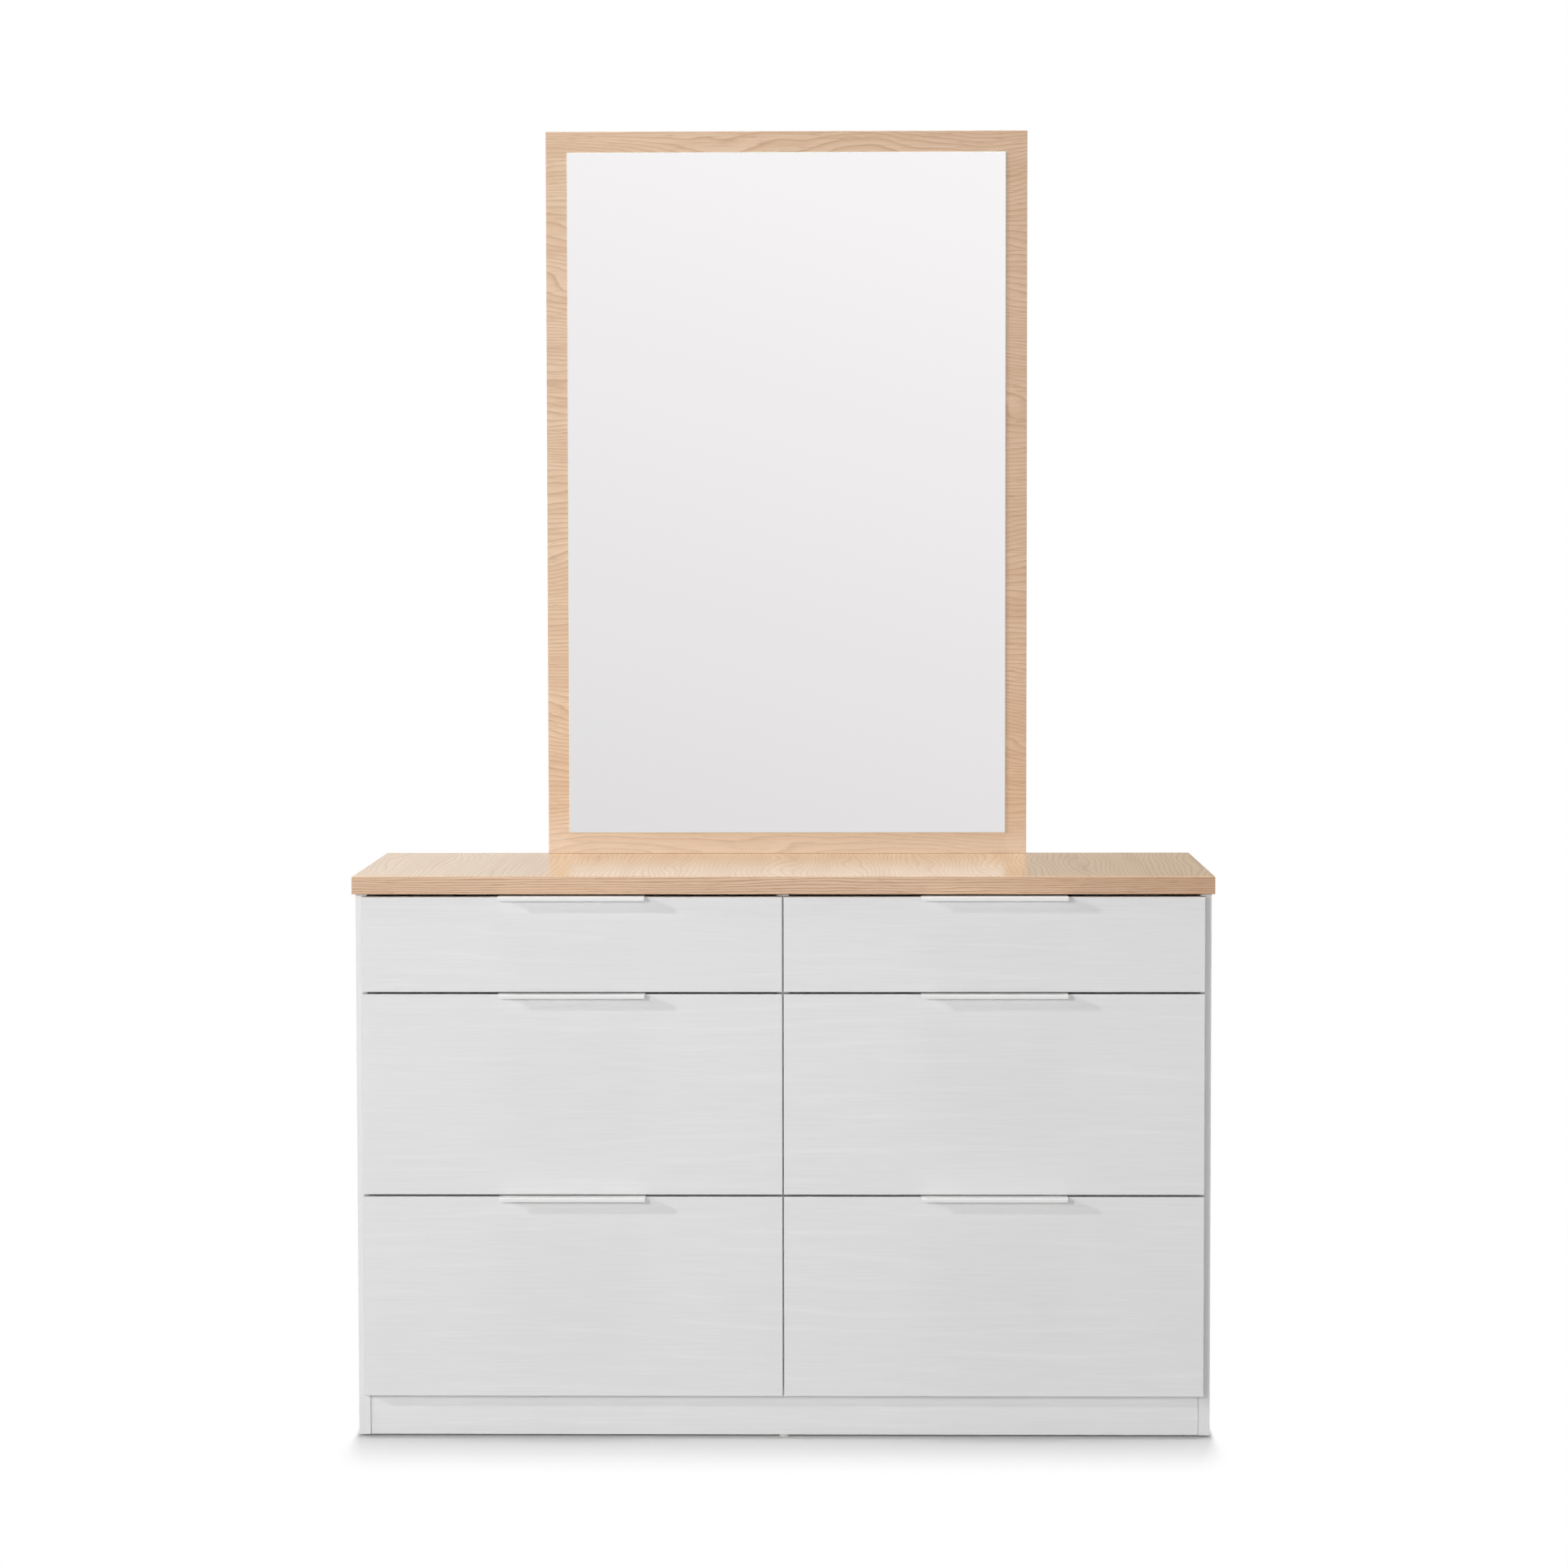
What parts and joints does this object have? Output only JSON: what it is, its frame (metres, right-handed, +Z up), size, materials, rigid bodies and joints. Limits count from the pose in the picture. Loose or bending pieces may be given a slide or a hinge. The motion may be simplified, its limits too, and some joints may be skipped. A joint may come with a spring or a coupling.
{
  "type": "dressing table",
  "caption": "White dressing table with drawers in two columns, an oak-effect top, white lip pulls and a tall mirror on an oak-effect board standing at the back",
  "frame": {"origin": "on the floor, below the middle of the whole object, from the lips of the pulls to the backs of the mirror battens", "axes": "+X to the right seen from the front, +Y to the back, +Z up; the drawers open towards -Y"},
  "size_m": [1.2, 0.485, 1.861],
  "materials": {
    "white_board": "melamine-faced board, white, fine embossed grain, satin",
    "oak_board": "melamine-faced board, light oak effect, satin",
    "hardboard": "thin hardboard, white face",
    "bare_wood": "planed softwood, unfinished",
    "mirror_glass": "silvered float glass, ground edges",
    "pull_paint": "white powder coat, satin",
    "glide_plastic": "moulded nylon, off-white",
    "runner_steel": "zinc plated, bright",
    "cage_steel": "bare steel strip with polished balls"
  },
  "bodies": {
    "case": {"top_panel": "oak_board", "left_side_panel": "white_board", "right_side_panel": "white_board", "centre_partition": "white_board", "base_panel": "white_board", "front_plinth": "white_board", "rear_plinth": "white_board", "rear_rail": "white_board", "glides": "glide_plastic", "left_back_sheet": "hardboard", "right_back_sheet": "hardboard", "mirror_board": "oak_board", "mirror_glass": "mirror_glass", "left_mirror_batten": "bare_wood", "right_mirror_batten": "bare_wood", "lower_runner_channels": "runner_steel", "middle_runner_channels": "runner_steel", "upper_runner_channels": "runner_steel"},
    "lower_left_drawer": {"lower_left_drawer_front": "white_board", "lower_left_drawer_sides": "white_board", "lower_left_drawer_back": "white_board", "lower_left_drawer_bottom": "hardboard", "lower_left_pull": "pull_paint", "lower_left_runner_rails": "runner_steel"},
    "lower_left_cages": {"lower_left_ball_cages": "cage_steel"},
    "lower_right_drawer": {"lower_right_drawer_front": "white_board", "lower_right_drawer_sides": "white_board", "lower_right_drawer_back": "white_board", "lower_right_drawer_bottom": "hardboard", "lower_right_pull": "pull_paint", "lower_right_runner_rails": "runner_steel"},
    "lower_right_cages": {"lower_right_ball_cages": "cage_steel"},
    "middle_left_drawer": {"middle_left_drawer_front": "white_board", "middle_left_drawer_sides": "white_board", "middle_left_drawer_back": "white_board", "middle_left_drawer_bottom": "hardboard", "middle_left_pull": "pull_paint", "middle_left_runner_rails": "runner_steel"},
    "middle_left_cages": {"middle_left_ball_cages": "cage_steel"},
    "middle_right_drawer": {"middle_right_drawer_front": "white_board", "middle_right_drawer_sides": "white_board", "middle_right_drawer_back": "white_board", "middle_right_drawer_bottom": "hardboard", "middle_right_pull": "pull_paint", "middle_right_runner_rails": "runner_steel"},
    "middle_right_cages": {"middle_right_ball_cages": "cage_steel"},
    "upper_left_drawer": {"upper_left_drawer_front": "white_board", "upper_left_drawer_sides": "white_board", "upper_left_drawer_back": "white_board", "upper_left_drawer_bottom": "hardboard", "upper_left_pull": "pull_paint", "upper_left_runner_rails": "runner_steel"},
    "upper_left_cages": {"upper_left_ball_cages": "cage_steel"},
    "upper_right_drawer": {"upper_right_drawer_front": "white_board", "upper_right_drawer_sides": "white_board", "upper_right_drawer_back": "white_board", "upper_right_drawer_bottom": "hardboard", "upper_right_pull": "pull_paint", "upper_right_runner_rails": "runner_steel"},
    "upper_right_cages": {"upper_right_ball_cages": "cage_steel"}
  },
  "joints": [
    {"name": "lower_left_slide", "type": "slide", "parent": "case", "child": "lower_left_drawer", "axis": [0, -1, 0], "range_m": [0, 0.3]},
    {"name": "lower_left_cage_roll", "type": "slide", "parent": "case", "child": "lower_left_cages", "axis": [0, -1, 0], "range_m": [0, 0.15]},
    {"name": "lower_right_slide", "type": "slide", "parent": "case", "child": "lower_right_drawer", "axis": [0, -1, 0], "range_m": [0, 0.3]},
    {"name": "lower_right_cage_roll", "type": "slide", "parent": "case", "child": "lower_right_cages", "axis": [0, -1, 0], "range_m": [0, 0.15]},
    {"name": "middle_left_slide", "type": "slide", "parent": "case", "child": "middle_left_drawer", "axis": [0, -1, 0], "range_m": [0, 0.3]},
    {"name": "middle_left_cage_roll", "type": "slide", "parent": "case", "child": "middle_left_cages", "axis": [0, -1, 0], "range_m": [0, 0.15]},
    {"name": "middle_right_slide", "type": "slide", "parent": "case", "child": "middle_right_drawer", "axis": [0, -1, 0], "range_m": [0, 0.3]},
    {"name": "middle_right_cage_roll", "type": "slide", "parent": "case", "child": "middle_right_cages", "axis": [0, -1, 0], "range_m": [0, 0.15]},
    {"name": "upper_left_slide", "type": "slide", "parent": "case", "child": "upper_left_drawer", "axis": [0, -1, 0], "range_m": [0, 0.3]},
    {"name": "upper_left_cage_roll", "type": "slide", "parent": "case", "child": "upper_left_cages", "axis": [0, -1, 0], "range_m": [0, 0.15]},
    {"name": "upper_right_slide", "type": "slide", "parent": "case", "child": "upper_right_drawer", "axis": [0, -1, 0], "range_m": [0, 0.3]},
    {"name": "upper_right_cage_roll", "type": "slide", "parent": "case", "child": "upper_right_cages", "axis": [0, -1, 0], "range_m": [0, 0.15]}
  ],
  "couplings": [
    {"joint": "lower_left_cage_roll", "follows": "lower_left_slide", "ratio": 0.5},
    {"joint": "lower_right_cage_roll", "follows": "lower_right_slide", "ratio": 0.5},
    {"joint": "middle_left_cage_roll", "follows": "middle_left_slide", "ratio": 0.5},
    {"joint": "middle_right_cage_roll", "follows": "middle_right_slide", "ratio": 0.5},
    {"joint": "upper_left_cage_roll", "follows": "upper_left_slide", "ratio": 0.5},
    {"joint": "upper_right_cage_roll", "follows": "upper_right_slide", "ratio": 0.5}
  ]
}
